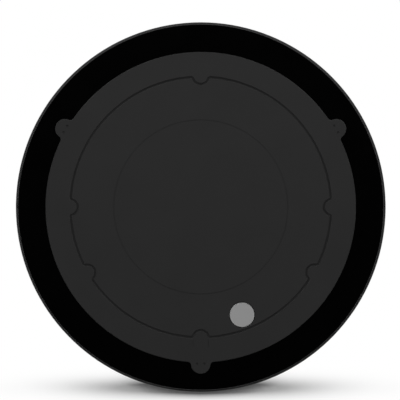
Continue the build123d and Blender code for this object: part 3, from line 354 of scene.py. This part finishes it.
def smoky(name, colour):
    """Clear plastic with a grey smoke tint, hazy from dust inside."""
    look = Look(name, Transmission_Weight=0.75, IOR=1.49)
    haze = look.noise(smoke_haze_size, 5)
    look.set("Base Color", look.blend(look.between(haze, 0, 1), shade(colour, 0.85), shade(colour, 1.25)))
    look.set("Roughness", look.between(haze, 0.08, 0.22))
    look.relief(look.noise(smoke_ripple_size, 2), smoke_ripple_depth)
    return look


def paper(name, colour):
    """Filter paper of matted fibres, greyer where dust has caught."""
    look = Look(name, Specular_IOR_Level=0.15)
    fibres = look.noise(fibre_size, 4, fibre_stretch)
    dust = look.noise(filter_dust_size, 4)
    tint = look.blend(look.between(fibres, 0, 1), shade(colour, 0.86), shade(colour, 1.05))
    look.set("Base Color", look.blend(look.between(dust, 0, 0.45), tint, shade(filter_dust_colour)))
    look.set("Roughness", look.between(fibres, 0.8, 0.95))
    look.relief(fibres, fibre_depth)
    return look


def circuit(name, colour):
    """Solder mask over copper runs, with plated holes."""
    look = Look(name, Specular_IOR_Level=0.5)
    x, y, _ = look.axes()
    field_inputs = {"Vector": look.place, "Scale": 1 / track_field_size}
    fields = look.add("TexVoronoi", field_inputs, distance="CHEBYCHEV").outputs["Color"]
    field = look.add("SeparateColor", {"Color": fields}).outputs[0]
    turn = look.math("GREATER_THAN", field, 0.5)
    along = look.add("Mix", {"Factor": turn, "A": x, "B": y}).outputs["Result"]
    runs = look.math("LESS_THAN", look.math("FRACT", look.math("DIVIDE", along, track_pitch)), track_share)
    hole_inputs = {"Vector": look.place, "Scale": 1 / plated_hole_spacing}
    holes = look.add("TexVoronoi", hole_inputs).outputs["Distance"]
    plated = look.math("LESS_THAN", holes, plated_hole_share)
    mask = look.blend(runs, shade(colour, 0.75), shade(colour, 1.5))
    look.set("Base Color", look.blend(plated, mask, shade(plating_colour)))
    look.set("Metallic", plated)
    look.set("Roughness", look.between(look.noise(mask_patch_size), 0.28, 0.42))
    look.relief(runs, track_depth)
    return look


def cell_wrap(name, colour):
    """Shrink film round the cells, wrinkled along them, with a pale band near one end."""
    look = Look(name, Specular_IOR_Level=0.5)
    _, y, _ = look.axes()
    low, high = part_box("battery_pack")
    share = look.math("DIVIDE", look.math("SUBTRACT", y, low[1]), high[1] - low[1])
    from_band = look.math("ABSOLUTE", look.math("SUBTRACT", share, band_place))
    band = look.math("LESS_THAN", from_band, band_half_width)
    folds = look.noise(fold_size, 3, fold_stretch)
    film = look.blend(look.between(folds, 0, 1), shade(colour, 0.8), shade(colour, 1.25))
    look.set("Base Color", look.blend(band, film, shade(band_colour)))
    look.set("Roughness", look.between(folds, 0.25, 0.42))
    look.relief(folds, fold_depth)
    return look


def two_tone_wheel(name, dark, pale):
    """Caster wheel moulded half dark and half pale, scuffed on its tread."""
    look = Look(name, Specular_IOR_Level=0.4)
    _, _, z = look.axes()
    low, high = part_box("caster_wheel")
    half = look.math("GREATER_THAN", z, (low[2] + high[2]) / 2)
    scuffs = look.noise(tread_scuff_size, 4, tread_scuff_stretch)
    tint = look.blend(half, shade(dark), shade(pale))
    look.set("Base Color", look.blend(look.between(scuffs, 0, 0.3), tint, shade(tread_scuff_colour)))
    look.set("Roughness", look.between(scuffs, 0.4, 0.6))
    look.relief(scuffs, tread_scuff_depth)
    return look


looks = {
    "rim_black": rim_plastic("rim_black", grey(0.0003), inner_colour=grey(0.016), inner_radius=ledge_radius),
    "deck_grey": plastic(
        "deck_grey",
        grey(0.0164),
        rough=0.62,
        gloss=0.2,
        grain=0.4 * MM,
        depth=0.014 * MM,
        mottle=0.025,
        wear=0.05,
        haze=0.03,
    ),
    "side_grey": plastic("side_grey", grey(0.022), rough=0.5, gloss=0.3),
    "button_grey": plastic(
        "button_grey",
        grey(0.22),
        rough=0.5,
        gloss=0.3,
        grain=0.35 * MM,
        depth=0.006 * MM,
        mottle=0.015,
        wear=0.05,
    ),
    "underside_black": scuffed("underside_black", grey(0.014)),
    "inner_black": plastic("inner_black", (0.015, 0.015, 0.016), rough=0.6),
    "inner_grey": plastic("inner_grey", (0.11, 0.11, 0.115), rough=0.6),
    "smoke_window": window("smoke_window", (0.006, 0.005, 0.006)),
    "soft_strip": rubber("soft_strip", grey(0.015)),
    "tyre_rubber": rubber("tyre_rubber", grey(0.013)),
    "hub_grey": plastic("hub_grey", (0.05, 0.05, 0.052), rough=0.5),
    "brush_rubber": rubber("brush_rubber", (0.018, 0.06, 0.03), rough=0.7),
    "brush_plastic": plastic("brush_plastic", grey(0.03), rough=0.45),
    "frame_plastic": plastic("frame_plastic", (0.03, 0.03, 0.032), rough=0.5),
    "steel": metal("steel", grey(0.55), rough=0.28, stretch=(0.1, 1, 1)),
    "motor_metal": metal("motor_metal", grey(0.42), rough=0.34, stretch=(0.1, 1, 1)),
    "contact_metal": metal("contact_metal", (0.6, 0.59, 0.57), rough=0.26, stretch=(0.08, 1, 1)),
    "screw_metal": metal("screw_metal", grey(0.3), rough=0.35),
    "board_green": circuit("board_green", (0.01, 0.09, 0.03)),
    "component_black": plastic("component_black", grey(0.02), rough=0.5, gloss=0.4, mottle=0.15),
    "cell_wrap": cell_wrap("cell_wrap", (0.02, 0.05, 0.16)),
    "bin_smoke": smoky("bin_smoke", (0.16, 0.16, 0.17)),
    "filter_paper": paper("filter_paper", (0.7, 0.68, 0.62)),
    "latch_grey": plastic("latch_grey", (0.045, 0.045, 0.046), rough=0.45),
}
caster_look = two_tone_wheel("caster_two_tone", dark=grey(0.012), pale=grey(0.6))
pin_look = plastic("blackened_pins", grey(0.013), rough=0.5, gloss=0.3)
socket_look = plastic("socket_cream", (0.62, 0.58, 0.48), rough=0.45, gloss=0.4, mottle=0.05)
coil_look = plastic("coil_grey", (0.06, 0.06, 0.065), rough=0.6, gloss=0.3, mottle=0.2)
tin_look = metal("tinned_pins", (0.6, 0.6, 0.58), rough=0.25)
sleeve_look = plastic("capacitor_sleeve", (0.012, 0.02, 0.05), rough=0.35, gloss=0.5)
can_look = metal("capacitor_can", (0.68, 0.68, 0.69), rough=0.22)

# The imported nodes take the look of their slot, but for two with a look of their own
for row in frame["record"]["subparts"]:
    node = frame["nodes"][row["node"]]
    node.data.materials.clear()
    node.data.materials.append(looks[row["material_slot"]].material)
frame["nodes"]["caster_wheel"].data.materials[0] = caster_look.material
frame["nodes"]["deck_pins"].data.materials[0] = pin_look.material


def keep_piece(name, mesh, materials, slot, *nodes):
    """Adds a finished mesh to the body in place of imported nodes."""
    made = bpy.data.objects.new(name, mesh)
    bpy.context.scene.collection.objects.link(made)
    for look in materials:
        mesh.materials.append(look.material)
    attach(made, "body")
    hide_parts(*nodes)


def to_mesh(form, name):
    """Turns a finished form into a mesh with its faces outwards."""
    bmesh.ops.recalc_face_normals(form, faces=form.faces)
    mesh = bpy.data.meshes.new(name)
    form.to_mesh(mesh)
    form.free()
    return mesh


def lathe(form, profile, place=(0, 0, 0), steps=32, surface=0):
    """Turns (radius, height) points, from axis to axis, about Z at a place."""
    rings = []
    for radius, height in profile:
        count = steps if radius else 1
        turns = [2 * pi * k / steps for k in range(count)]
        points = [(radius * cos(turn), radius * sin(turn), height) for turn in turns]
        rings.append([form.verts.new(Vector(place) + Vector(point)) for point in points])
    for low, high in zip(rings, rings[1:]):
        for k in range(steps):
            after = k + 1
            corners = [low[k % len(low)], low[after % len(low)], high[after % len(high)], high[k % len(high)]]
            face = form.faces.new(list(dict.fromkeys(corners)))
            face.material_index = surface
            face.smooth = True


def block(form, low, high, surface=0):
    """Adds a box between two corners."""
    middle = (Vector(low) + Vector(high)) / 2
    size = Vector(high) - Vector(low)
    made = bmesh.ops.create_cube(form, size=1, matrix=Matrix.LocRotScale(middle, None, size))
    for face in {face for vert in made["verts"] for face in vert.link_faces}:
        face.material_index = surface


def spots(node):
    """Lowest and highest corner of each separate solid of a node of screws."""
    groups = []
    for vertex in frame["nodes"][node].data.vertices:
        near = [group for group in groups if (vertex.co.xy - group[0].xy).length < screw_reach]
        if near:
            near[0].append(vertex.co)
        else:
            groups.append([vertex.co])
    return [(Vector(map(min, *group)), Vector(map(max, *group))) for group in groups]


def screw_form(head_radius, head_height, shaft_radius, length):
    """Mesh of a pan-head screw with a cross recess, its head's face at z = 0 and its shaft below."""
    profile = [
        (0, 0),
        (head_radius - 2 * screw_edge, -0.1 * screw_edge),
        (head_radius - screw_edge, -0.3 * screw_edge),
        (head_radius - 0.3 * screw_edge, -screw_edge),
        (head_radius, -2 * screw_edge),
        (head_radius, -head_height),
        (shaft_radius, -head_height),
        (shaft_radius, -length),
        (0, -length),
    ]
    solid_form = bmesh.new()
    lathe(solid_form, profile)
    solid = bpy.data.objects.new("screw", to_mesh(solid_form, "screw"))
    cutter_form = bmesh.new()
    reach = recess_head_share * head_radius
    half = recess_width / 2
    deep = min(recess_depth, recess_height_share * head_height)
    block(cutter_form, (-reach, -half, -deep), (reach, half, MM))
    block(cutter_form, (-half, -reach, -recess_excess * deep), (half, reach, recess_excess * MM))
    cutter = bpy.data.objects.new("recess", to_mesh(cutter_form, "recess"))
    for made in (solid, cutter):
        bpy.context.scene.collection.objects.link(made)
    cut = solid.modifiers.new("recess", "BOOLEAN")
    cut.object = cutter
    cut.operation = "DIFFERENCE"
    cut.solver = "EXACT"
    cut.use_self = True
    graph = bpy.context.evaluated_depsgraph_get()
    mesh = bpy.data.meshes.new_from_object(solid.evaluated_get(graph))
    for made in (solid, cutter):
        bpy.data.objects.remove(made)
    return mesh


def screws(name, node, head_height, shaft_radius, facing_up):
    """Cross-recessed screws in place of a node of plain ones, each turned a little differently."""
    form = bmesh.new()
    for k, (low, high) in enumerate(spots(node)):
        middle = (low + high) / 2
        head_radius = (high.x - low.x) / 2
        single = screw_form(head_radius, head_height, shaft_radius or head_radius, high.z - low.z)
        face_height = high.z if facing_up else low.z
        tip = Matrix.Identity(4) if facing_up else Matrix.Rotation(pi, 4, "X")
        place = Matrix.Translation((middle.x, middle.y, face_height)) @ tip
        single.transform(place @ Matrix.Rotation(radians(screw_turn * k), 4, "Z"))
        form.from_mesh(single)
    mesh = bpy.data.meshes.new(name)
    form.to_mesh(mesh)
    form.free()
    keep_piece(name, mesh, [looks["screw_metal"]], "screw_metal", node)


for row in screw_rows:
    screws(*row)

# Parts on the board, with their legs, pins and sleeves
board_low, board_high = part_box("main_board")
board_middle = Vector(((board_low[0] + board_high[0]) / 2, (board_low[1] + board_high[1]) / 2, board_high[2]))
BODY, LEGS, SOCKET, COIL, SLEEVE, CAN = range(6)


def board_block(form, low, high, surface):
    """Adds a box on the board, between corners in millimetres from the board's middle."""
    block(form, board_middle + Vector(low) * MM, board_middle + Vector(high) * MM, surface)


def leg_runs(side, offset, inner, outer, rise):
    """Corners of the three straight runs of a bent leg that points along X."""
    knee = outer - side * foot_length
    shin = knee - side * leg_thickness
    low, high = offset - leg_width / 2, offset + leg_width / 2
    return [
        ((min(inner, knee), low, rise), (max(inner, knee), high, rise + leg_thickness)),
        ((min(knee, shin), low, 0), (max(knee, shin), high, rise)),
        ((min(knee, outer), low, 0), (max(knee, outer), high, leg_thickness)),
    ]


def chip(form, place, width, height):
    """Flat square chip with a row of bent legs on each side."""
    x, y = place
    half = width / 2 - leg_reach
    board_block(form, (x - half, y - half, chip_lift), (x + half, y + half, height), BODY)
    count = int(2 * (half - leg_corner_gap) / leg_pitch)
    for k in range(count + 1):
        offset = (k - count / 2) * leg_pitch
        for side in (1, -1):
            runs = leg_runs(side, offset, side * half, side * width / 2, height / 2)
            for low, high in runs:
                board_block(form, (x + low[0], y + low[1], low[2]), (x + high[0], y + high[1], high[2]), LEGS)
            for low, high in runs:
                board_block(form, (x + low[1], y + low[0], low[2]), (x + high[1], y + high[0], high[2]), LEGS)


def socket(form, place, size, height):
    """Open connector housing with a row of pins."""
    (x, y), (length, width) = place, size
    left, right, front, rear = x - length / 2, x + length / 2, y - width / 2, y + width / 2
    inner_front, inner_rear = front + socket_wall, rear - socket_wall
    board_block(form, (left, front, 0), (right, rear, socket_base), SOCKET)
    board_block(form, (left, front, socket_base), (right, inner_front, height), SOCKET)
    board_block(form, (left, inner_rear, socket_base), (right, rear, height), SOCKET)
    for start, end in ((left, left + socket_wall), (right - socket_wall, right)):
        board_block(form, (start, inner_front, socket_base), (end, inner_rear, height), SOCKET)
    count = int((length - socket_end_room) / pin_pitch)
    half = pin_width / 2
    pin_top = height - pin_drop
    for k in range(count + 1):
        pin_x = x + (k - count / 2) * pin_pitch
        board_block(form, (pin_x - half, y - half, socket_base), (pin_x + half, y + half, pin_top), LEGS)


def coil(form, place, size, height):
    """Square choke: two flanges with a round winding between."""
    (x, y), (length, width) = place, size
    flange = coil_flange_share * height
    for low, high in ((0, flange), (height - flange, height)):
        board_block(form, (x - length / 2, y - width / 2, low), (x + length / 2, y + width / 2, high), COIL)
    radius = coil_core_share * min(length, width) * MM
    winding = []
    for k in range(coil_steps + 1):
        swell = 1 - coil_wire_share * ((k + 1) % 2)
        winding.append((radius * swell, (flange + (height - 2 * flange) * k / coil_steps) * MM))
    profile = [(0, winding[0][1]), *winding, (0, winding[-1][1])]
    lathe(form, profile, board_middle + Vector((x, y, 0)) * MM, surface=LEGS)


def capacitor(form, place):
    """Round capacitor in a sleeve, with a crimp near its foot and a bare top."""
    centre = board_middle + Vector((*place, 0)) * MM
    radius, height = capacitor_radius * MM, capacitor_height * MM
    for outline, surface in ((sleeve_outline, SLEEVE), (can_outline, CAN)):
        profile = [(out * radius, up * height) for out, up in outline]
        lathe(form, profile, centre, surface=surface)


board_form = bmesh.new()
for row in chips:
    chip(board_form, *row)
for row in sockets:
    socket(board_form, *row)
for row in coils:
    coil(board_form, *row)
for place in capacitors:
    capacitor(board_form, place)
keep_piece(
    "board_parts",
    to_mesh(board_form, "board_parts"),
    [looks["component_black"], tin_look, socket_look, coil_look, sleeve_look, can_look],
    "component_black",
    "board_components",
)

# Camera
scene = bpy.context.scene
camera = bpy.data.objects.new("camera", bpy.data.cameras.new("camera"))
camera.location = (*camera_place, camera_height)
camera.data.lens = camera.data.sensor_width * (camera_height - frame_plane) / frame_width
scene.collection.objects.link(camera)
scene.camera = camera

# Pale floor that shows white, but for its own shading under the object and in the band in front; that shading
# holds real shadow and painted contact shade, and the band's outline is a painted shadow
floor_form = bmesh.new()
bmesh.ops.create_grid(floor_form, x_segments=1, y_segments=1, size=floor_half)
floor = bpy.data.objects.new("floor", to_mesh(floor_form, "floor"))
scene.collection.objects.link(floor)
floor_look = Look("floor_white", Roughness=0.9, Specular_IOR_Level=0.0)
# Painted contact shade: the floor's colour darkens where ambient occlusion finds the object near
occlusion = floor_look.add("AmbientOcclusion", {"Distance": painted_contact_reach}).outputs["AO"]
floor_look.set("Base Color", floor_look.between(occlusion, painted_contact_level, floor_level, painted_contact_dark, 1))
# Painted shadow: a soft band in front of the object, across and along, where the floor's white is held back
across, along, _ = floor_look.axes()
across = floor_look.between(floor_look.math("ABSOLUTE", across), painted_shadow_strength, 0, 0, painted_shadow_reach)
along = floor_look.math("DIVIDE", floor_look.math("SUBTRACT", along, painted_shadow_middle), painted_shadow_spread)
along = floor_look.math("MULTIPLY", floor_look.math("MULTIPLY", along, along), -1.0)
painted_shadow_kept = floor_look.math("MULTIPLY", across, floor_look.math("EXPONENT", along))
clear = floor_look.math("SUBTRACT", 1.0, floor_look.math("MINIMUM", painted_shadow_kept, painted_shadow_limit))
from_axis = floor_look.add("VectorMath", {0: floor_look.place}, operation="LENGTH").outputs["Value"]
ring = floor_look.add("ValToRGB", {"Fac": from_axis})
for place, level in floor_rings:
    ring.color_ramp.elements.new(place).color = shade(grey(level))
white = floor_look.math("MULTIPLY", clear, ring.outputs["Color"])
rays = floor_look.add("LightPath").outputs
seen = floor_look.math("MAXIMUM", rays["Is Camera Ray"], rays["Is Glossy Ray"])
seen = floor_look.math("MAXIMUM", seen, rays["Is Transmission Ray"])
plain = floor_look.add("Emission", {"Color": (1, 1, 1, 1), "Strength": 1.0})
mixed = floor_look.add("MixShader", {0: floor_look.math("MULTIPLY", seen, white)})
floor_look.join(mixed.inputs[1], floor_look.shader.outputs["BSDF"])
floor_look.join(mixed.inputs[2], plain.outputs["Emission"])
floor_look.join(floor_look.tree.nodes["Material Output"].inputs["Surface"], mixed.outputs["Shader"])
floor.data.materials.append(floor_look.material)

# World: bright at the horizon, dark overhead
world = bpy.data.worlds.new("studio")
world.use_nodes = True
scene.world = world
sky = world.node_tree
direction = sky.nodes.new("ShaderNodeTexCoord").outputs["Generated"]
upward = sky.nodes.new("ShaderNodeSeparateXYZ")
levels = sky.nodes.new("ShaderNodeValToRGB")
sky.links.new(direction, upward.inputs["Vector"])
sky.links.new(upward.outputs["Z"], levels.inputs["Fac"])
sky.links.new(levels.outputs["Color"], sky.nodes["Background"].inputs["Color"])
stops = levels.color_ramp.elements
for stop, (height, level) in zip(stops, (sky_low, sky_high)):
    stop.position = height
    stop.color = shade(grey(level))
stops.new(sky_middle[0]).color = shade(grey(sky_middle[1]))


def soft_light(name, place, size, power):
    """Soft rectangular lamp that looks at the object."""
    lamp = bpy.data.lights.new(name, "AREA")
    lamp.shape = "RECTANGLE"
    lamp.size, lamp.size_y = size
    lamp.energy = power
    made = bpy.data.objects.new(name, lamp)
    made.location = place
    made.rotation_euler = (Vector(lamp_target) - Vector(place)).to_track_quat("-Z", "Y").to_euler()
    made.visible_camera = False
    scene.collection.objects.link(made)
    return made


key = soft_light("key", key_place, key_size, key_power)
key.visible_glossy = False
for name, place in fill_places.items():
    soft_light(name, place, fill_size, fill_power)

scene.view_settings.view_transform = "Standard"
